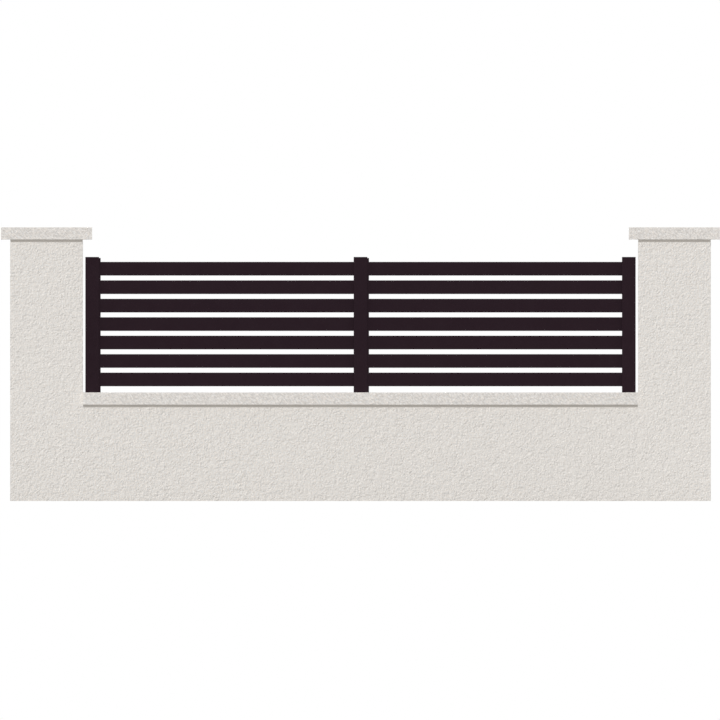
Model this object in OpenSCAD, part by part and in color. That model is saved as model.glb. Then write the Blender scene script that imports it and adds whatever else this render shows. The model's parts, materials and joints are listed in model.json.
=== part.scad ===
// Slatted aluminium fence on a rendered low wall, between two capped piers.
// Millimetres. Origin on the ground, under the middle of the wall. +X runs along
// the wall to the right, the front faces -Y, and +Z points up.

/* [Masonry] */
// Clear distance between the two piers
opening_w = 3040; // [2400:10:4000]
// Width and depth of each square pier
pier_w = 400; // [360:10:500]
// Height of a pier's rendered shaft above the ground
pier_h = 1419; // [1380:1:1800]
// Height of the low wall's rendered face above the ground
wall_h = 514; // [300:1:540]
// How far the low wall's faces stand back from the piers' faces
wall_setback = 0; // [0:5:75]
// Thickness of the pier caps and of the wall's coping
cap_t = 68; // [40:1:80]
// How far caps and coping stand proud of the masonry under them
overhang = 50; // [35:1:60]
// Height of the mortar bed under caps and coping
bed_t = 13; // [8:1:20]
// How far the mortar bed is raked back from the rendered face
bed_rake = 1; // [1:0.5:6]
// Eased arris along the edges of caps and coping
arris = 2.5; // [1:0.5:6]

/* [Drip grooves] */
// Width of the groove cast into the underside of each overhang
drip_w = 9; // [5:1:12]
// Depth of that groove
drip_depth = 5; // [3:1:8]
// Distance from the slab's edge to the groove
drip_edge = 16; // [12:1:20]

/* [Posts] */
// Outside width and depth of the square posts
post_w = 75; // [60:1:90]
// Wall of the post tube
post_wall = 2; // [1.5:0.1:3]
// Outside radius of the tube's corners
post_r = 2.5; // [1:0.1:4]
// Height of a capped post above the coping
post_h = 742; // [720:1:820]
// Gap between each pier and the post beside it
post_gap = 12.5; // [5:0.5:40]
// Thickness of the plate that closes a post
cap_plate_t = 5.5; // [3:0.5:8]
// Length of the cap's plug inside the tube
plug_l = 16; // [8:1:20]

/* [Slats] */
// Number of slats in a bay
slat_n = 7; // [4:1:8]
// Height of one slat
slat_h = 75; // [50:1:80]
// Thickness of one slat
slat_t = 20; // [14:1:30]
// Wall of the hollow slat
slat_wall = 1.4; // [1:0.1:2]
// Outside radius of the slat's edges
slat_r = 2; // [1.6:0.1:4]
// From the top of a capped post down to the top slat
slat_drop = 27; // [22:1:60]
// From the coping up to the lowest slat
slat_foot = 33.5; // [20:0.5:60]
// How far a slat's right end reaches past the face of its post
slat_reach = 10; // [6:1:20]

/* [Channel] */
// How far the channel stands out of the post
channel_w = 9; // [7:0.5:14]
// Wall of the channel
channel_wall = 2; // [1.5:0.1:3]
// Thickness of the plate that closes the channel's top
channel_cap_t = 3; // [2:0.5:4]
// Room left between a slat's end and the channel's web
end_play = 1; // [0.5:0.1:2]
// Room around a slat in its mortise, at the top, front and back
mortise_play = 0.5; // [0.3:0.1:1]

/* [Hidden] */
$fn = 48;
wall_t = pier_w - 2 * wall_setback;
bed_top = wall_h + bed_t;
coping_top = bed_top + cap_t;
coping_w = wall_t + 2 * overhang;
pier_cap_w = pier_w + 2 * overhang;
pier_x = (opening_w + pier_w) / 2;
post_x = opening_w / 2 - post_gap - post_w / 2;
tube_h = post_h - cap_plate_t;
tube_top = coping_top + tube_h;
channel_h = tube_h - channel_cap_t;
channel_y = slat_t / 2 + channel_wall;
// radii inside the hollow sections, and the cuts along a post cap's top and foot
tube_inner_r = 0.5;
slat_inner_r = 0.4;
cap_edge = 1;
cap_reveal = 0.6;
plug_wall = 2.5;
plug_play = 0.2;
// how far the spacers stand back from the channel's mouth
spacer_back = 1;
slat_stack = post_h - slat_drop - slat_foot;
slat_gap = (slat_stack - slat_n * slat_h) / (slat_n - 1);
slat_pitch = slat_h + slat_gap;
lowest_slat = coping_top + slat_foot;
// x of the left face of the left and of the right bay
bay_starts = [-post_x + post_w / 2, post_w / 2];
bay_clear = post_x - post_w;

// height of a slat's underside, counted from the lowest slat up
function slat_z(i) = lowest_slat + i * slat_pitch;

module render_coat() color([0.86, 0.843, 0.824]) children();
module cast_stone() color([0.849, 0.831, 0.812]) children();
module mortar() color([0.63, 0.61, 0.58]) children();
module powder_coat() color([0.165, 0.122, 0.144]) children();

// a box centred in x and y that stands on z = 0
module block(w, d, h) translate([-w / 2, -d / 2, 0]) cube([w, d, h]);

// a rectangle with round corners, centred
module round_rect(w, d, r) {
  square([w - 2 * r, d], center = true);
  square([w, d - 2 * r], center = true);
  for (sx = [-1, 1], sy = [-1, 1])
    translate([sx * (w / 2 - r), sy * (d / 2 - r)]) circle(r);
}

// a rectangle standing on the x axis with its corners cut off at 45 degrees
module cut_rect(w, h, top_cut, foot_cut)
  polygon([
    [-w / 2 + foot_cut, 0], [w / 2 - foot_cut, 0],
    [w / 2, foot_cut], [w / 2, h - top_cut],
    [w / 2 - top_cut, h], [-w / 2 + top_cut, h],
    [-w / 2, h - top_cut], [-w / 2, foot_cut]
  ]);

// extrudes an outline in the x-z plane along y, centred
module along_y(length)
  translate([0, length / 2, 0]) rotate([90, 0, 0]) linear_extrude(length) children();

// extrudes an outline in the y-z plane along x, from x = 0
module along_x(length) rotate([90, 0, 90]) linear_extrude(length) children();

// --- masonry ---

module pier(side)
  render_coat() translate([side * pier_x, 0, 0]) block(pier_w, pier_w, pier_h);

module cap_bed(side) {
  bed_w = pier_w - 2 * bed_rake;
  mortar() translate([side * pier_x, 0, pier_h]) block(bed_w, bed_w, bed_t);
}

// a flat square slab with eased edges and a drip groove running round its underside
module pier_cap(side) {
  groove_out = pier_cap_w - 2 * drip_edge;
  groove_in = groove_out - 2 * drip_w;
  cast_stone() translate([side * pier_x, 0, pier_h + bed_t]) difference() {
    intersection() {
      along_y(pier_cap_w) cut_rect(pier_cap_w, cap_t, arris, arris);
      translate([-pier_cap_w / 2, 0, 0])
        along_x(pier_cap_w) cut_rect(pier_cap_w, cap_t, arris, arris);
    }
    translate([0, 0, -1]) difference() {
      block(groove_out, groove_out, drip_depth + 1);
      block(groove_in, groove_in, drip_depth + 1);
    }
  }
}

module base_wall() render_coat() block(opening_w, wall_t, wall_h);

module coping_bed()
  mortar() translate([0, 0, wall_h]) block(opening_w, wall_t - 2 * bed_rake, bed_t);

// the coping runs from pier to pier, with a drip groove under each long edge
module wall_coping() {
  groove_y = coping_w / 2 - drip_edge - drip_w / 2;
  cast_stone() translate([-opening_w / 2, 0, bed_top])
    along_x(opening_w) difference() {
      cut_rect(coping_w, cap_t, arris, arris);
      for (side = [-1, 1]) translate([side * groove_y, 0])
        square([drip_w, 2 * drip_depth], center = true);
    }
}

// --- fence ---

// a square tube, and in the face that a bay's slats run into, a mortise for each slat
module post(x, mortised)
  powder_coat() translate([x, 0, coping_top]) difference() {
    linear_extrude(tube_h) difference() {
      round_rect(post_w, post_w, post_r);
      round_rect(post_w - 2 * post_wall, post_w - 2 * post_wall, tube_inner_r);
    }
    if (mortised)
      for (i = [0:slat_n - 1])
        translate([-post_w / 2 - 1, -slat_t / 2 - mortise_play, slat_z(i) - coping_top])
          cube([post_wall + 2, slat_t + 2 * mortise_play, slat_h + mortise_play]);
  }

// a flat plate with cut edges, which leave a fine line where it meets the tube, and the
// hollow plug that holds it there
module post_cap(x) {
  plug_w = post_w - 2 * post_wall - 2 * plug_play;
  powder_coat() translate([x, 0, tube_top]) {
    intersection() {
      linear_extrude(cap_plate_t) round_rect(post_w, post_w, post_r);
      along_y(post_w) cut_rect(post_w, cap_plate_t, cap_edge, cap_reveal);
      translate([-post_w / 2, 0, 0])
        along_x(post_w) cut_rect(post_w, cap_plate_t, cap_edge, cap_reveal);
    }
    translate([0, 0, -plug_l]) difference() {
      block(plug_w, plug_w, plug_l);
      translate([0, 0, -1]) block(plug_w - 2 * plug_wall, plug_w - 2 * plug_wall, plug_l + 1);
    }
  }
}

// a U section on the post's right face, open towards the slats
module slat_channel(bay) {
  in_y = slat_t / 2;
  powder_coat() translate([bay_starts[bay], 0, coping_top])
    linear_extrude(channel_h) polygon([
      [0, -channel_y], [channel_w, -channel_y], [channel_w, -in_y], [channel_wall, -in_y],
      [channel_wall, in_y], [channel_w, in_y], [channel_w, channel_y], [0, channel_y]
    ]);
}

// a small plate that closes the channel's top
module channel_cap(bay)
  powder_coat() translate([bay_starts[bay], -channel_y, coping_top + channel_h])
    cube([channel_w, 2 * channel_y, channel_cap_t]);

// short infill blocks that close the channel's mouth under, between and over the slats
module channel_spacers(bay)
  powder_coat() for (i = [0:slat_n]) {
    foot = i == 0 ? coping_top : slat_z(i - 1) + slat_h;
    head = i == slat_n ? coping_top + channel_h : slat_z(i);
    translate([bay_starts[bay] + channel_wall, -slat_t / 2, foot])
      cube([channel_w - channel_wall - spacer_back, slat_t, head - foot]);
  }

// hollow flat slats, from inside the channel to inside the next post
module slats(bay) {
  start = bay_starts[bay] + channel_wall + end_play;
  length = bay_clear - channel_wall - end_play + slat_reach;
  powder_coat() for (i = [0:slat_n - 1])
    translate([start, 0, slat_z(i) + slat_h / 2]) along_x(length) difference() {
      round_rect(slat_t, slat_h, slat_r);
      round_rect(slat_t - 2 * slat_wall, slat_h - 2 * slat_wall, slat_inner_r);
    }
}

base_wall();
coping_bed();
wall_coping();
pier(-1);  // pier_left
cap_bed(-1);  // cap_bed_left
pier_cap(-1);  // pier_cap_left
pier(1);  // pier_right
cap_bed(1);  // cap_bed_right
pier_cap(1);  // pier_cap_right
post(-post_x, false);  // post_left
post(0, true);  // post_middle
post(post_x, true);  // post_right
post_cap(-post_x);  // post_cap_left
post_cap(0);  // post_cap_middle
post_cap(post_x);  // post_cap_right
slat_channel(0);  // slat_channel_left_bay
slat_channel(1);  // slat_channel_right_bay
channel_cap(0);  // channel_cap_left_bay
channel_cap(1);  // channel_cap_right_bay
channel_spacers(0);  // channel_spacers_left_bay
channel_spacers(1);  // channel_spacers_right_bay
slats(0);  // slats_left_bay
slats(1);  // slats_right_bay
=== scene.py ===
# %% [markdown]
# # A slatted fence on a rendered low wall
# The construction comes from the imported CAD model, which is loaded as a fixed frame. The
# metal fence keeps its CAD solids and gets its powder coat here. The masonry is a set of
# plain blocks in the CAD model, so here each block gets a skin: a dense grid of points,
# worked out with numpy, that carries the real relief of roughcast render, of cast stone
# and of raked mortar.

import json
import math

import bpy
import numpy as np
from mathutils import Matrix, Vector


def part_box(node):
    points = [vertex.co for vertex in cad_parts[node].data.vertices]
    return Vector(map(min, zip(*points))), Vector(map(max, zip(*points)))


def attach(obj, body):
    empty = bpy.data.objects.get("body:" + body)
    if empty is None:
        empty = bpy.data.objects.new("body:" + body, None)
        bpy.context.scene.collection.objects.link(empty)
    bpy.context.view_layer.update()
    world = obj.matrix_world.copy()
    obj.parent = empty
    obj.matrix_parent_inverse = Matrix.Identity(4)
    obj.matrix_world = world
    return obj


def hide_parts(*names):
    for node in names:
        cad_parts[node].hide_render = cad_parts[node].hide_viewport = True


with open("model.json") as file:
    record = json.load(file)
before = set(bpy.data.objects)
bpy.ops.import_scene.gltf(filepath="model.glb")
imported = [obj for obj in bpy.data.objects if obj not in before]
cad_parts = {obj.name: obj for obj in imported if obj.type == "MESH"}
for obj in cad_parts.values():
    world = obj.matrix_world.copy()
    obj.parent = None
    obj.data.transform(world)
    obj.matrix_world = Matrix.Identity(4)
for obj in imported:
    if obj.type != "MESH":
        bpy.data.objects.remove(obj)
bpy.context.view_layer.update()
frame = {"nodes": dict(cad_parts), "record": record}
MM = 0.001

# %% [markdown]
# ## Camera
# An elevation drawing has no perspective: every upright stays upright and near parts are
# no bigger than far ones. An orthographic camera that looks level along +Y does the same.
# A long lens far away would come close, but would still show a little of the caps'
# undersides.

# %% Camera
VIEW_WIDTH = 3.9445
VIEW_CENTRE_X = -0.0027
VIEW_CENTRE_Z = 0.7725
CAMERA_DISTANCE = 6.0
SIGHT_END = 100.0


def level_camera():
    """Makes the orthographic camera, level and square to the wall."""
    data = bpy.data.cameras.new("elevation_camera")
    data.type = "ORTHO"
    data.ortho_scale = VIEW_WIDTH
    data.clip_end = SIGHT_END
    camera = bpy.data.objects.new("elevation_camera", data)
    camera.location = (VIEW_CENTRE_X, -CAMERA_DISTANCE, VIEW_CENTRE_Z)
    camera.rotation_euler = (math.radians(90), 0, 0)
    bpy.context.scene.collection.objects.link(camera)
    bpy.context.scene.camera = camera


level_camera()
bpy.context.scene.view_settings.view_transform = "Standard"
print("camera sees", VIEW_WIDTH, "m across")

# %% [markdown]
# ## Light
# More than half of the light on the front is a fill from nearly straight ahead. It stands
# so low that its shadows fall straight back, behind the object, and the only ones to see
# are in the raked mortar beds, which they darken. Relief needs light that grazes it, so a
# key comes over the face from the upper left. Its shadows would run a hand's breadth down
# the piers from the caps, so it casts none and only shapes the surface. The same pair
# stands behind, turned half round. There the key does cast shadows, and they ground the
# object on the floor. A weak lamp off each end casts no shadow either and leaves the ends
# a tone darker than the long faces, and one overhead lights the tops.
#
# Suns are used and not area lamps, because a sun lights all four metres of wall evenly. A
# sun of strength pi makes a white face that looks straight at it render as white, so each
# lamp is given as a share of that.

# %% Suns
def sun(name, azimuth, elevation, share, spread, shadows=True):
    """A sun seen in the direction azimuth, elevation: azimuth 0 is in front of the fence
    and 90 is to its right. share is the part of full white that it gives, and spread is
    its width in degrees, which softens the shadows."""
    data = bpy.data.lights.new(name, "SUN")
    data.energy = share * math.pi
    data.angle = math.radians(spread)
    data.use_shadow = shadows
    lamp = bpy.data.objects.new(name, data)
    a, e = math.radians(azimuth), math.radians(elevation)
    towards = Vector((math.sin(a) * math.cos(e), -math.cos(a) * math.cos(e), math.sin(e)))
    lamp.rotation_euler = towards.to_track_quat("Z", "Y").to_euler()
    bpy.context.scene.collection.objects.link(lamp)
    print(f"sun {name}: {share} of white, {'with' if shadows else 'no'} shadows")


for facing, turned in (("front", 0), ("back", 180)):
    sun(f"key_{facing}", turned - 67, 40, share=0.5, spread=14, shadows=facing == "back")
    sun(f"fill_{facing}", turned + 2, 1.3, share=0.575, spread=2.4)
for end, azimuth in (("left", -90), ("right", 90)):
    sun(f"side_{end}", azimuth, 12, share=0.13, spread=20, shadows=False)
sun("top", 0, 90, share=0.12, spread=20)

# %% [markdown]
# ## World
# The world is the studio around the object. Rays that the camera sends straight past the
# object find plain white, and so do mirror and glass rays, while the light that the world
# throws on the object stays weak. The Light Path node tells the kinds of ray apart.

# %% World
AMBIENT = 0.3


def studio_world():
    """A world that is white to look at and gives AMBIENT of full white as light."""
    world = bpy.data.worlds.new("studio")
    bpy.context.scene.world = world
    world.use_nodes = True
    nodes, links = world.node_tree.nodes, world.node_tree.links
    background = nodes["Background"]
    background.inputs["Color"].default_value = (1, 1, 1, 1)
    rays = nodes.new("ShaderNodeLightPath")
    seen = rays.outputs["Is Camera Ray"]
    for kind in ("Is Glossy Ray", "Is Transmission Ray"):
        either = nodes.new("ShaderNodeMath")
        either.operation = "MAXIMUM"
        links.new(seen, either.inputs[0])
        links.new(rays.outputs[kind], either.inputs[1])
        seen = either.outputs[0]
    strength = nodes.new("ShaderNodeMapRange")
    strength.inputs["To Min"].default_value = AMBIENT
    strength.inputs["To Max"].default_value = 1.0
    links.new(seen, strength.inputs["Value"])
    links.new(strength.outputs["Result"], background.inputs["Strength"])
    print("world: white to look at, light", AMBIENT, "of white")


studio_world()

# %% [markdown]
# ## Shader helpers
# Every finish below is built from the same few nodes: noise at a stated size, a ramp that
# turns it into an amount, a blend of two colours, and a bump. Small helpers keep each
# recipe short. Sizes are given in millimetres and turned into the noise nodes' scale,
# which counts features in a metre.

# %% Shader helpers
class Recipe:
    """A material's node tree, with short calls for the nodes that the finishes share."""

    def __init__(self, name):
        self.material = bpy.data.materials.new(name)
        self.material.use_nodes = True
        self.nodes = self.material.node_tree.nodes
        self.links = self.material.node_tree.links
        self.shader = self.nodes["Principled BSDF"]
        self.place = self.nodes.new("ShaderNodeTexCoord").outputs["Object"]

    def slanted(self, turn, stretch):
        """Object coordinates for grain that is drawn out by stretch along a line that
        falls to the right at the angle turn, in degrees."""
        node = self.nodes.new("ShaderNodeMapping")
        node.vector_type = "TEXTURE"
        node.inputs["Rotation"].default_value = (0, math.radians(turn), 0)
        node.inputs["Scale"].default_value = (stretch, 1, 1)
        self.links.new(self.place, node.inputs["Vector"])
        return node.outputs["Vector"]

    def noise(self, size_mm, detail=2.0, place=None):
        """Soft noise whose features are about size_mm across; gives a value near 0.5."""
        node = self.nodes.new("ShaderNodeTexNoise")
        node.inputs["Scale"].default_value = 1000 / size_mm
        node.inputs["Detail"].default_value = detail
        self.links.new(place or self.place, node.inputs["Vector"])
        return node.outputs["Fac"]

    def attribute(self, name):
        """A number stored on the piece's own points."""
        node = self.nodes.new("ShaderNodeAttribute")
        node.attribute_name = name
        return node.outputs["Fac"]

    def spread(self, value, low, high, to_low, to_high):
        """Carries value from the range low..high to the range to_low..to_high."""
        node = self.nodes.new("ShaderNodeMapRange")
        node.inputs["From Min"].default_value = low
        node.inputs["From Max"].default_value = high
        node.inputs["To Min"].default_value = to_low
        node.inputs["To Max"].default_value = to_high
        self.links.new(value, node.inputs["Value"])
        return node.outputs["Result"]

    def product(self, one, other):
        """One value times another."""
        node = self.nodes.new("ShaderNodeMath")
        node.operation = "MULTIPLY"
        self.links.new(one, node.inputs[0])
        self.links.new(other, node.inputs[1])
        return node.outputs[0]

    def tint(self, colour, other, amount):
        """Blends from one colour to the other by amount; either may be a socket."""
        node = self.nodes.new("ShaderNodeMix")
        node.data_type = "RGBA"
        self.links.new(amount, node.inputs["Factor"])
        for socket, value in (("A", colour), ("B", other)):
            target = next(s for s in node.inputs if s.name == socket and s.type == "RGBA")
            if isinstance(value, bpy.types.NodeSocket):
                self.links.new(value, target)
            else:
                target.default_value = (*value, 1)
        return next(s for s in node.outputs if s.type == "RGBA")

    def bump(self, height, height_mm, below=None):
        """Raises the surface by up to height_mm where height is 1, over another bump."""
        node = self.nodes.new("ShaderNodeBump")
        node.inputs["Distance"].default_value = height_mm * MM
        node.inputs["Strength"].default_value = 1.0
        self.links.new(height, node.inputs["Height"])
        if below is not None:
            self.links.new(below, node.inputs["Normal"])
        return node.outputs["Normal"]

    def finish(self, colour, roughness, normal, specular):
        """Sends colour, roughness and normal to the shader, and returns the material."""
        self.links.new(colour, self.shader.inputs["Base Color"])
        self.links.new(roughness, self.shader.inputs["Roughness"])
        self.links.new(normal, self.shader.inputs["Normal"])
        self.shader.inputs["Specular IOR Level"].default_value = specular
        print(f"finish {self.material.name}: {len(self.nodes)} shader nodes")
        return self.material


def shade(colour, factor):
    """The colour times a factor."""
    return tuple(c * factor for c in colour)


# %% [markdown]
# ## Floor
# A wide pale sheet that takes the object's shadow. It is not part of the object. It looks
# nearly white to the camera, but throws back much less light than a white floor would, so
# that the foot of the wall is not lit from below.

# %% Floor
FLOOR_HALF = 60.0
FLOOR_SEEN = (0.96, 0.96, 0.96)
FLOOR_BOUNCE = (0.3, 0.3, 0.3)
MOTTLE_MM = 700
SCUFF_MM = 200
GLAZE_MM = 40


def floor_material():
    """Pale to the camera, greyer to the light that bounces off it, with a faint mottle."""
    recipe = Recipe("studio_floor")
    rays = recipe.nodes.new("ShaderNodeLightPath")
    seen = recipe.tint(FLOOR_SEEN, shade(FLOOR_SEEN, 0.985), recipe.noise(MOTTLE_MM))
    colour = recipe.tint(FLOOR_BOUNCE, seen, rays.outputs["Is Camera Ray"])
    roughness = recipe.spread(recipe.noise(SCUFF_MM), 0, 1, 0.9, 1.0)
    normal = recipe.bump(recipe.noise(GLAZE_MM), height_mm=0.05)
    return recipe.finish(colour, roughness, normal, specular=0.0)


def floor():
    """One square face at ground level."""
    mesh = bpy.data.meshes.new("studio_floor")
    h = FLOOR_HALF
    mesh.from_pydata([(-h, -h, 0), (h, -h, 0), (h, h, 0), (-h, h, 0)], [], [(0, 1, 2, 3)])
    mesh.materials.append(floor_material())
    sheet = bpy.data.objects.new("studio_floor", mesh)
    bpy.context.scene.collection.objects.link(sheet)
    print("floor:", 2 * h, "m square")


floor()

# %% [markdown]
# ## Relief noise
# Render and stone are rough at several sizes at once. The relief is a sum of smooth random
# waves. It could be left to a texture, but then a close look, a shadow or an export of the
# mesh would show a flat block, so the larger waves are real shape, and only the smallest
# lumps and the sand are left to bump.

# %% Gradient noise
SLOPE_COUNT = 4096
CORNER_PRIMES = np.array([73856093, 19349663, 83492791])
NOISE_GAIN = 1.7


def random_slopes(seed):
    """A table of random unit vectors."""
    rng = np.random.default_rng(seed)
    slopes = rng.normal(size=(SLOPE_COUNT, 3))
    return slopes / np.linalg.norm(slopes, axis=1, keepdims=True)


def gradient_noise(points, cell, seed):
    """Smooth noise, about -1 to 1, with waves about two cells long. A cubic lattice holds a
    random slope at each corner, picked by mixing the corner's three whole numbers, each
    times a prime. A point asks its eight corners how high their slopes stand there, and
    blends the answers with the weight 6t^5 - 15t^4 + 10t^3 in each direction."""
    slopes = random_slopes(seed)
    scaled = points / cell
    base = np.floor(scaled).astype(np.int64)
    part = scaled - base
    blend = part**3 * (part * (6 * part - 15) + 10)
    total = np.zeros(len(points))
    for corner in np.ndindex(2, 2, 2):
        pick = np.bitwise_xor.reduce((base + corner) * CORNER_PRIMES, axis=1)
        slope = slopes[pick % SLOPE_COUNT]
        weight = np.where(corner, blend, 1 - blend).prod(axis=1)
        total += weight * ((part - corner) * slope).sum(axis=1)
    return total * NOISE_GAIN


probe = gradient_noise(np.random.default_rng(1).uniform(0, 1, (20000, 3)), cell=20 * MM, seed=3)
print("noise spread:", round(float(probe.std()), 3), "peak:", round(float(abs(probe).max()), 3))

# %% [markdown]
# ## Block skins
# Every masonry piece is a block with slightly rounded arrises. Its skin starts as the six
# faces of a box, each a grid of two parameters. Rounding needs no bevel tool: each point
# is pulled to the nearest point of a smaller box inside, then pushed out again by the edge
# radius. First come the grid's lines. They stand close together only where the surface
# bends, because even steps that fine would waste points on the flat faces.

# %% Grid lines
EDGE_ANGLES = np.radians([45, 30, 15])


def graded(low, high, step, radius, marks=()):
    """Coordinates from low to high: an even step between the rounded edges, and three more
    points in each edge at equal angles, so that the rounding stays round. marks are
    distances from either end where a line is wanted, such as the sides of a groove; even
    lines that fall close to one give way to it."""
    turns = radius * np.tan(EDGE_ANGLES)
    count = max(1, round((high - low - 2 * radius) / step))
    middle = np.linspace(low + radius, high - radius, count + 1)
    wanted = np.concatenate([low + np.array(marks), high - np.array(marks)])
    if len(wanted):
        crowd = np.abs(middle[:, None] - wanted).min(axis=1) < step / 4
        middle = np.sort(np.concatenate([middle[~crowd], wanted]))
    return np.concatenate([low + radius - turns, middle, high - radius + turns[::-1]])


sample = graded(0, 100 * MM, step=20 * MM, radius=5 * MM)
print("lines across 100 mm:", [round(float(at / MM), 1) for at in sample])

# %% [markdown]
# The six faces are separate grids, so every point of a shared edge is there twice. Left
# like that, the skin would be six loose sheets, open at every edge and shaded there as a
# sharp fold. Welding joins the doubles, and the skin is closed.

# %% Box faces
def box_faces(axes):
    """The six faces of the box whose grid lines are the three arrays in axes. Each face is
    a grid of two parameters with the third held at its end value. Returns points and
    quads, wound so that faces point outwards; points on shared edges are doubled."""
    points, quads, first = [], [], 0
    for across in range(3):
        u, v = (across + 1) % 3, (across + 2) % 3
        for end in (0, -1):
            grid_u, grid_v = np.meshgrid(axes[u], axes[v], indexing="ij")
            face = np.empty((*grid_u.shape, 3))
            face[..., across], face[..., u], face[..., v] = axes[across][end], grid_u, grid_v
            index = first + np.arange(grid_u.size).reshape(grid_u.shape)
            ring = [index[:-1, :-1], index[1:, :-1], index[1:, 1:], index[:-1, 1:]]
            if end == 0:
                ring.reverse()
            quads.append(np.stack(ring, axis=-1).reshape(-1, 4))
            points.append(face.reshape(-1, 3))
            first += grid_u.size
    return np.concatenate(points), np.concatenate(quads)


def welded(points, quads):
    """Joins points that lie in the same place, to a thousandth of a millimetre."""
    keys = np.round(points / (MM * MM)).astype(np.int64)
    _, first, same = np.unique(keys, axis=0, return_index=True, return_inverse=True)
    return points[first], same.reshape(-1)[quads]


loose, _ = box_faces([sample] * 3)
closed, _ = welded(*box_faces([sample] * 3))
print("a sample cube has", len(loose), "loose points and", len(closed), "welded ones")

# %% [markdown]
# The direction in which a point is pushed out is also the surface normal there. The relief
# sinks each point back along it, so no lump ever stands proud of the block.

# %% Skins
class Skin:
    """The points and quads of a block, with each point's outward normal, its relief depth
    and its reach, the distance along the face to the nearest arris."""

    def __init__(self, low, high, radius, steps, marks=((), (), ()), butted=()):
        """radius rounds the arrises and steps are the grid's steps along x, y and z.
        butted names axes whose two ends run into other masonry and so have no arris. Of a
        point's three distances to the planes of the box, the smallest belongs to its own
        face and the second smallest is its reach."""
        self.low, self.high, self.radius = np.array(low), np.array(high), radius
        axes = [graded(*line) for line in zip(low, high, steps, [radius] * 3, marks)]
        points, self.quads = welded(*box_faces(axes))
        inset = (self.high - self.low) / 2 - np.abs(points - (self.low + self.high) / 2)
        inset[:, list(butted)] = np.inf
        self.reach = np.sort(inset, axis=1)[:, 1]
        self.core = np.clip(points, self.low + radius, self.high - radius)
        outward = points - self.core
        self.normals = outward / np.linalg.norm(outward, axis=1, keepdims=True)
        self.points = self.core + radius * self.normals
        self.depth = np.zeros(len(points))

    def sink(self, depth):
        """Sinks every point by its depth, back along its normal."""
        self.depth += depth
        self.points = self.core + self.normals * (self.radius - self.depth)[:, None]

    def cut_foot(self, ground):
        """Flattens whatever lies below the ground."""
        self.points[:, 2] = np.maximum(self.points[:, 2], ground)


# %% [markdown]
# numpy's arrays go into the mesh whole, which is much faster than adding points one by
# one. The skin also leaves numbers on its points for its material to read: how deep the
# relief is there, and how near the arris is. Hollows can then be darkened, for a little
# dust and as painted shade, and arrises can look a little rubbed, without a painted image.

# %% Meshes
ARRIS_RUB = 5 * MM
SHARP_FROM = math.radians(50)


def store(mesh, label, values):
    """Keeps a number for each point under the name label, for a material to read."""
    layer = mesh.attributes.new(label, "FLOAT", "POINT")
    layer.data.foreach_set("value", values.astype(np.float32))


def skin_piece(name, skin, full_depth, material):
    """Puts a skin's arrays into a smooth mesh. Its attribute 'hollow' is the depth as a
    part of full_depth, and 'arris' falls from 1 at the arris with the reach."""
    mesh = bpy.data.meshes.new(name)
    count = len(skin.quads)
    mesh.vertices.add(len(skin.points))
    mesh.vertices.foreach_set("co", skin.points.astype(np.float32).ravel())
    mesh.loops.add(4 * count)
    mesh.loops.foreach_set("vertex_index", skin.quads.astype(np.int32).ravel())
    mesh.polygons.add(count)
    mesh.polygons.foreach_set("loop_start", np.arange(0, 4 * count, 4, dtype=np.int32))
    mesh.polygons.foreach_set("use_smooth", np.ones(count, bool))
    mesh.update(calc_edges=True)
    mesh.set_sharp_from_angle(angle=SHARP_FROM)
    store(mesh, "hollow", np.clip(skin.depth / full_depth, 0, 1))
    store(mesh, "arris", np.exp(-skin.reach / ARRIS_RUB))
    mesh.materials.append(material)
    piece = bpy.data.objects.new(name, mesh)
    bpy.context.scene.collection.objects.link(piece)
    print(f"{name}: {2 * count} triangles, deepest {skin.depth.max() / MM:.1f} mm")
    return piece


def place_on_body(piece, node):
    """Rides the piece on the fixed body and lets it stand for a node."""
    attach(piece, "root")
    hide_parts(node)


def corners(node):
    """A CAD node's lowest and highest corners as arrays."""
    low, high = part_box(node)
    return np.array(low), np.array(high)


# %% [markdown]
# ## Roughcast render
# Roughcast is thrown on wet and barely touched again. It stands in small lumps, one to
# four centimetres long, with softer hollows between them. Two sizes of noise are added,
# and the highest tops and deepest hollows are pressed flat a little, as the float leaves
# them. The relief has to fade out where another part stands tight against the block, or a
# gap would show there.

# %% Relief
TRIMMED = 14 * MM
PRESSED = 1.5


def eased(distance, width):
    """0 at distance 0 and 1 from width on, with the smooth step 3t^2 - 2t^3 between."""
    t = np.clip(distance / width, 0, 1)
    return t * t * (3 - 2 * t)


def away_from(points, boxes):
    """0 at and inside the boxes, rising to 1 at the distance TRIMMED from the nearest."""
    result = np.ones(len(points))
    for low, high in boxes:
        outside = np.maximum(np.maximum(low - points, points - high), 0)
        result *= eased(np.linalg.norm(outside, axis=1), TRIMMED)
    return result


def pressed_waves(points, waves, seed):
    """A depth of 0 to 1 for each point. waves lists shares and cells of gradient noise.
    Their sum h is turned into (1 - tanh(1.5 h)) / 2, which flattens tops and hollows."""
    height = sum(share * gradient_noise(points, cell, seed + place)
                 for place, (share, cell) in enumerate(waves))
    return (1 - np.tanh(PRESSED * height)) / 2


# %% [markdown]
# The coat is also knotty: where more was thrown on, the smallest lumps stand bolder, and
# between such knots they are calm. The noise is a function of the place in the world and
# not of the piece, so the relief runs on from the piers into the wall without a seam.

# %% Roughcast relief
ROUGHCAST_DEPTH = 4.0 * MM
ROUGHCAST_WAVES = ((0.35, 21 * MM), (0.75, 14 * MM))
ROUGHCAST_SEED = 11
KNOT_SEED = 13
KNOT_CELL = 24 * MM
CALMEST = 0.2


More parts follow.
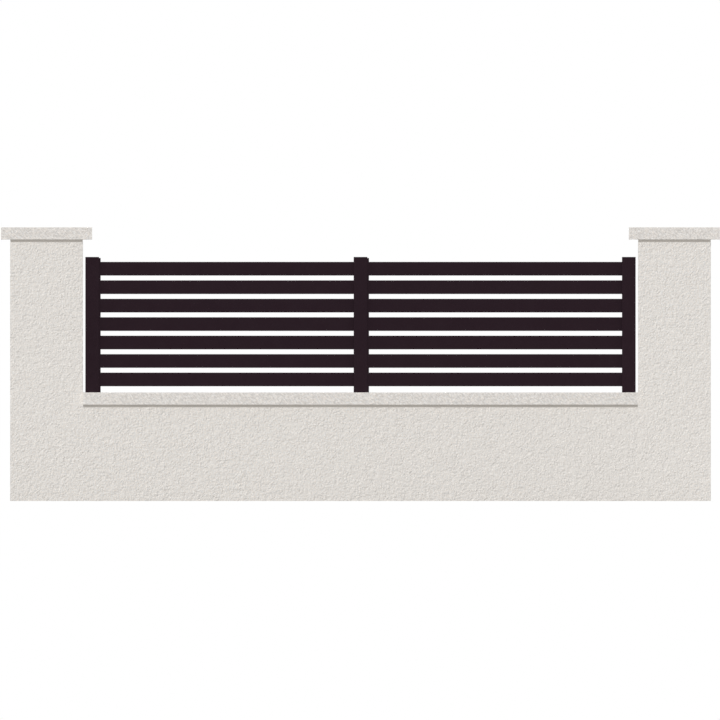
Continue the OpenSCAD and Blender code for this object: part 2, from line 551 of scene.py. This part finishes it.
def roughcast(skin, abutting):
    """A depth for each point, from pressed waves. It fades out on faces that look up or
    down, which are bedded, and on end faces near the boxes in abutting, which stand tight
    against them."""
    endways, upright = skin.normals[:, 0] ** 2, skin.normals[:, 2] ** 2
    tight = endways * (1 - away_from(skin.points, abutting))
    waves = pressed_waves(skin.points, ROUGHCAST_WAVES, ROUGHCAST_SEED)
    return ROUGHCAST_DEPTH * (1 - upright) * (1 - tight) * waves


def knots(points):
    """How boldly the small lumps stand at each point: 1 plus a wave of cells of KNOT_CELL,
    and nowhere under CALMEST, because no patch of a thrown coat is quite smooth."""
    return np.maximum(1 + gradient_noise(points, KNOT_CELL, KNOT_SEED), CALMEST)


# %% [markdown]
# ## Grains, clouds, wear and painted shade
# Render and cast stone are both sand and cement, so they share three habits: some grains
# are warmer and some cooler, large patches differ a little in shade, and the hollows are
# darkened, for a little dust and as painted shade, while the arrises are rubbed pale.

# %% Grains, clouds, wear and painted shade
GRAIN_MM = 9


def warmer(colour, amount):
    """The colour with its red raised by the part amount and its blue lowered by as much."""
    return (colour[0] * (1 + amount), colour[1], colour[2] * (1 - amount))


def warm_and_cool(recipe, colour, warmth):
    """Grains of the colour, the warmest and the coolest off by the part warmth."""
    grains = recipe.spread(recipe.noise(GRAIN_MM, 1.0), 0.35, 0.65, 0, 1)
    return recipe.tint(warmer(colour, -warmth), warmer(colour, warmth), grains)


def clouded(recipe, colour, cloud, size_mm):
    """Blends up to half way to the colour cloud, in patches of size_mm."""
    patches = recipe.spread(recipe.noise(size_mm), 0.3, 0.7, 0, 0.5)
    return recipe.tint(colour, cloud, patches)


def worn_and_shaded(recipe, colour, dust_and_shade, rub):
    """Blends to a darker colour in the hollows, for dust and as painted shade, and to rub along
    the arrises.
    """
    # Painted shade with a little dust: the deeper the relief, the darker the colour.
    hollow = recipe.spread(recipe.attribute("hollow"), 0.3, 1.0, 0, 0.3)
    colour = recipe.tint(colour, dust_and_shade, hollow)
    arris = recipe.spread(recipe.attribute("arris"), 0.2, 1.0, 0, 0.7)
    return recipe.tint(colour, rub, arris)


# %% [markdown]
# ## The render's finish
# The render is a pale warm grey all through. What varies is small: warm and cool grains, a
# cloudiness over a metre, sand that shows as fine specks, and the odd pale pebble. The
# smallest lumps, the grit and the sand are too fine for the mesh and lie over it as three
# layers of bump. The lumps' layer is multiplied by the knots. It is centred on 0 first,
# so that the knots only change how bold the lumps are and don't raise whole patches.

# %% Roughcast finish
RENDER_COLOUR = (0.705, 0.675, 0.639)
RENDER_WARMTH = 0.042
RENDER_CLOUD_MM = 900
SAND_MM = 2.2
PEBBLE_MM = 6.5
LUMP_MM = 10.5
GRIT_MM = 5


def roughcast_finish():
    """Pale warm grey render: warm and cool grains, clouds, sand, hollows with dust and painted
    shade, wear, pebbles.
    """
    recipe = Recipe("roughcast_render")
    colour = warm_and_cool(recipe, RENDER_COLOUR, RENDER_WARMTH)
    colour = clouded(recipe, colour, shade(RENDER_COLOUR, 0.99), RENDER_CLOUD_MM)
    sand = recipe.spread(recipe.noise(SAND_MM, 3.0), 0.35, 0.65, 0, 0.5)
    colour = recipe.tint(colour, shade(RENDER_COLOUR, 0.92), sand)
    # The hollows' colour is darker, for dust and as painted shade.
    dust_and_shade, rub = shade(RENDER_COLOUR, 0.94), shade(RENDER_COLOUR, 1.03)
    colour = worn_and_shaded(recipe, colour, dust_and_shade, rub)
    pebbles = recipe.spread(recipe.noise(PEBBLE_MM, 0.0), 0.64, 0.72, 0, 0.8)
    colour = recipe.tint(colour, shade(RENDER_COLOUR, 1.12), pebbles)
    roughness = recipe.spread(sand, 0, 0.5, 0.88, 0.98)
    swell = recipe.spread(recipe.noise(LUMP_MM, 0.0), 0, 1, -0.5, 0.5)
    knotty = recipe.product(swell, recipe.attribute("knots"))
    lumps = recipe.bump(knotty, height_mm=4.25)
    grit = recipe.bump(recipe.noise(GRIT_MM, 1.0), height_mm=0.5, below=lumps)
    normal = recipe.bump(recipe.noise(SAND_MM, 2.0), height_mm=0.25, below=grit)
    return recipe.finish(colour, roughness, normal, specular=0.2)


render_finish = roughcast_finish()

# %% [markdown]
# ## Piers
# A pier is laid in blocks and then rendered, so nothing of the blocks shows and one skin
# does for all of it. Render runs straight into the ground. The skin therefore starts a
# little below the ground, where its rounded foot is out of sight, and is cut off level.

# %% Piers
RENDER_EDGE = 2.5 * MM
RENDER_STEP = 6.6 * MM
coping = corners("wall_coping")


def rendered_block(node, steps, into=np.zeros(3), butted=()):
    """The roughcast skin of one CAD block, with its foot cut sharp at the ground. into is
    how far its ends run into what they butt on."""
    low, high = corners(node)
    below = np.array([0, 0, 2 * RENDER_EDGE])
    skin = Skin(low - below - into, high + into, RENDER_EDGE, steps, butted=butted)
    skin.sink(roughcast(skin, abutting=[coping]))
    skin.cut_foot(low[2])
    piece = skin_piece(f"{node}_render", skin, ROUGHCAST_DEPTH, render_finish)
    store(piece.data, "knots", knots(skin.points))
    place_on_body(piece, node)


for node in ("pier_left", "pier_right"):
    rendered_block(node, [RENDER_STEP] * 3)

# %% [markdown]
# ## Low wall
# The wall's faces are in one plane with the piers' faces. Its skin runs a centimetre into
# each pier, past the pier's rounded arris, so that no joint shows: both skins follow the
# same relief there. The top is hidden under the coping, so its grid is coarse across the
# wall.

# %% Low wall
INTO_PIER = np.array([10 * MM, 0, 0])
HIDDEN_STEP = 60 * MM
rendered_block("base_wall", [RENDER_STEP, HIDDEN_STEP, RENDER_STEP], INTO_PIER, butted=[0])

# %% [markdown]
# ## Cast stone
# Caps and coping are cast in a mould from fine crushed stone. Their faces are flatter than
# render but still grainy, and the edges are eased so that they do not chip. A groove under
# each overhang makes rain drip off before it reaches the wall. The posts stand on spots
# that are rubbed level.

# %% Cast stone relief
STONE_EDGE = 1.2 * MM
STONE_DEPTH = 2.0 * MM
STONE_WAVES = ((0.35, 17 * MM), (0.75, 12 * MM))
STONE_SEED = 41
DRIP_FROM_EDGE = 16 * MM
DRIP_WIDTH = 9 * MM
DRIP_DEPTH = 5 * MM
DRIP_DRAFT = 0.6 * MM
DRIP_MARKS = (DRIP_FROM_EDGE, DRIP_FROM_EDGE + DRIP_DRAFT,
              DRIP_FROM_EDGE + DRIP_WIDTH - DRIP_DRAFT, DRIP_FROM_EDGE + DRIP_WIDTH)


def stone_relief(skin, clear_of):
    """A depth for each point, from pressed waves that fade out at the boxes in clear_of."""
    waves = pressed_waves(skin.points, STONE_WAVES, STONE_SEED)
    return STONE_DEPTH * away_from(skin.points, clear_of) * waves


def drip_groove(skin, sides):
    """A depth for each point: a groove with slightly drafted walls, where the distance
    from the nearest slab edge along the axes in sides is within its width. It is cut only
    where the surface looks down, by the fourth power of the normal's downward part."""
    inset = np.minimum(skin.points - skin.low, skin.high - skin.points)[:, sides].min(axis=1)
    across = np.abs(inset - (DRIP_FROM_EDGE + DRIP_WIDTH / 2))
    level = np.clip((DRIP_WIDTH / 2 - across) / DRIP_DRAFT, 0, 1)
    return DRIP_DEPTH * level * np.maximum(-skin.normals[:, 2], 0) ** 4


# %% [markdown]
# The face shows the crushed stone itself: darker grains, which lie a little drawn out
# along a slant, between the same warm and cool ones as in the render. Its lumps are lower
# and finer than the render's, and nothing makes them knotty, because a mould spreads the
# mix evenly.

# %% Cast stone finish
STONE_COLOUR = (0.742, 0.708, 0.671)
STONE_WARMTH = 0.032
STONE_CLOUD_MM = 500
DARK_GRAIN_MM = 7.5
STONE_LUMP_MM = 9
STONE_GRIT_MM = 4
STONE_TOOTH_MM = 1.8


def stone_finish():
    """Pale cast stone: warm, cool and dark grains, clouds, hollows with dust and painted shade,
    wear, a fine tooth.
    """
    recipe = Recipe("cast_stone_face")
    colour = warm_and_cool(recipe, STONE_COLOUR, STONE_WARMTH)
    colour = clouded(recipe, colour, shade(STONE_COLOUR, 0.98), STONE_CLOUD_MM)
    slant = recipe.slanted(turn=45, stretch=2.6)
    grain = recipe.spread(recipe.noise(DARK_GRAIN_MM, 1.0, place=slant), 0.35, 0.65, 0, 0.6)
    colour = recipe.tint(colour, shade(STONE_COLOUR, 0.66), grain)
    # The hollows' colour is darker, for dust and as painted shade.
    dust_and_shade, rub = shade(STONE_COLOUR, 0.86), shade(STONE_COLOUR, 1.03)
    colour = worn_and_shaded(recipe, colour, dust_and_shade, rub)
    roughness = recipe.spread(grain, 0, 0.6, 0.82, 0.95)
    lumps = recipe.bump(recipe.noise(STONE_LUMP_MM, 0.0), height_mm=2.9)
    grit = recipe.bump(recipe.noise(STONE_GRIT_MM, 1.0), height_mm=0.6, below=lumps)
    normal = recipe.bump(recipe.noise(STONE_TOOTH_MM, 2.0), height_mm=0.2, below=grit)
    return recipe.finish(colour, roughness, normal, specular=0.25)


stone = stone_finish()

# %% [markdown]
# ## Caps and coping
# All three are the same kind of slab. The caps drip on all four sides and so have a groove
# along both axes. The coping meets the piers at its ends and only drips front and back.

# %% Caps and coping
CAP_STEP = 4.5 * MM
COPING_STEPS = [5 * MM, 14 * MM, 4 * MM]


def stone_slab(node, steps, sides, clear_of=()):
    """The cast stone skin of one CAD slab, with a drip groove along the edges in sides."""
    low, high = corners(node)
    marks = [DRIP_MARKS if axis in sides else () for axis in range(3)]
    skin = Skin(low, high, STONE_EDGE, steps, marks)
    skin.sink(stone_relief(skin, clear_of) + drip_groove(skin, sides))
    piece = skin_piece(f"{node}_stone", skin, STONE_DEPTH, stone)
    place_on_body(piece, node)


for node in ("pier_cap_left", "pier_cap_right"):
    stone_slab(node, [CAP_STEP] * 3, sides=[0, 1])
post_feet = [corners(node) for node in ("post_left", "post_middle", "post_right")]
stone_slab("wall_coping", COPING_STEPS, sides=[1], clear_of=post_feet)

# %% [markdown]
# ## Mortar beds
# Caps and coping lie on a bed of grey mortar, raked back with a round jointer while soft.
# So the bed's face is a shallow hollow from top to bottom, with sand standing out of it.
# The skin of a bed is a little taller than the bed. It runs down into the render and up
# into the stone, whose relief would otherwise leave gaps above and below it.

# %% Mortar relief
BED_HOLLOW = 0.6 * MM
BED_SAND = 0.3 * MM
BED_SAND_CELL = 5 * MM
BED_SEED = 71
INTO_STONE = np.array([0, 0, 2.5 * MM])
INTO_RENDER = np.array([0, 0, 0.3 * MM])


def bed_relief(skin):
    """A depth for each point: a hollow that is deepest at half the bed's height and falls
    away with the square of the distance from there, plus fine sand."""
    low, high = skin.low[2] + INTO_RENDER[2], skin.high[2] - INTO_STONE[2]
    level = np.clip((2 * skin.points[:, 2] - low - high) / (high - low), -1, 1)
    waves = gradient_noise(skin.points, BED_SAND_CELL, BED_SEED)
    sand = np.clip(0.5 + 0.5 * waves, 0, 1)
    sideways = 1 - skin.normals[:, 2] ** 2
    return sideways * (BED_HOLLOW * (1 - level**2) + BED_SAND * sand)


# %% [markdown]
# Mortar is darker than render, because it has no pale finish, and its colour is darker
# still as painted shade, for the shade that lies in the narrow bed under the overhang. Its
# sand shows as fine pale and dark grains, and damp patches are a little darker.

# %% Mortar finish
# Grey mortar's colour, darkened as painted shade for the shade in the bed under the overhang.
MORTAR_AND_SHADE_COLOUR = (0.385, 0.36, 0.33)
MORTAR_SAND_MM = 1.6
DAMP_MM = 120


def mortar_finish():
    """Grey mortar, darkened further as painted shade, with pale and dark sand and slightly damp
    patches.
    """
    recipe = Recipe("bed_mortar")
    grain = recipe.spread(recipe.noise(MORTAR_SAND_MM, 3.0), 0.35, 0.65, 0, 1)
    colour = recipe.tint(shade(MORTAR_AND_SHADE_COLOUR, 1.1), shade(MORTAR_AND_SHADE_COLOUR, 0.85), grain)
    damp = recipe.spread(recipe.noise(DAMP_MM), 0.35, 0.7, 0, 1)
    colour = recipe.tint(colour, shade(MORTAR_AND_SHADE_COLOUR, 0.92), damp)
    roughness = recipe.spread(grain, 0, 1, 0.88, 0.98)
    normal = recipe.bump(recipe.noise(MORTAR_SAND_MM, 3.0), height_mm=0.4)
    return recipe.finish(colour, roughness, normal, specular=0.2)


mortar = mortar_finish()

# %% [markdown]
# The coping's bed is over three metres long and half hidden, so its grid is fine up and
# down, where the hollow bends, and coarse across the wall, where nothing shows.

# %% Mortar beds
BED_EDGE = 0.5 * MM
BED_STEP = 8 * MM
BED_FINE = 2 * MM


def mortar_bed(node, steps):
    """The raked mortar skin of one CAD bed."""
    low, high = corners(node)
    skin = Skin(low - INTO_RENDER, high + INTO_STONE, BED_EDGE, steps)
    skin.sink(bed_relief(skin))
    piece = skin_piece(f"{node}_mortar", skin, BED_HOLLOW + BED_SAND, mortar)
    place_on_body(piece, node)


for node in ("cap_bed_left", "cap_bed_right"):
    mortar_bed(node, [BED_STEP, BED_STEP, BED_FINE])
mortar_bed("coping_bed", [BED_STEP, HIDDEN_STEP, BED_FINE])

# %% [markdown]
# ## Powder coat
# Posts, slats and channels are aluminium extrusions with a baked powder coat, a very dark
# plum brown with a fine tooth and hardly any sheen; the tooth's peaks carry a faint painted
# highlight. The CAD solids already have their true section, so they stay and only get this
# finish.

# %% Powder coat
COAT_COLOUR = (0.0169, 0.0085, 0.0125)
COAT_PATCH_MM = 160
COAT_SHEEN_MM = 60
TOOTH_MM = 0.9


def powder_coat_finish():
    """Very dark plum brown powder coat, matt, with a fine tooth whose peaks carry a painted
    highlight.
    """
    recipe = Recipe("plum_powder_coat")
    patches = recipe.spread(recipe.noise(COAT_PATCH_MM), 0.3, 0.7, 0, 1)
    colour = recipe.tint(COAT_COLOUR, shade(COAT_COLOUR, 1.06), patches)
    tooth = recipe.noise(TOOTH_MM, 2.0)
    # Painted highlight: the tooth's peaks are made paler, as where they would catch the light.
    peak_highlight = recipe.spread(tooth, 0.6, 0.75, 0, 1)
    colour = recipe.tint(colour, shade(COAT_COLOUR, 1.5), peak_highlight)
    roughness = recipe.spread(recipe.noise(COAT_SHEEN_MM), 0.3, 0.7, 0.68, 0.76)
    normal = recipe.bump(tooth, height_mm=0.05)
    return recipe.finish(colour, roughness, normal, specular=0.05)


coat = powder_coat_finish()
slots = {part["node"]: part["material_slot"] for part in frame["record"]["subparts"]}
metal_nodes = sorted(node for node, slot in slots.items() if slot == "powder_coat")
for node in metal_nodes:
    solid = frame["nodes"][node]
    solid.data.materials.clear()
    solid.data.materials.append(coat)
print("powder coated:", ", ".join(metal_nodes))
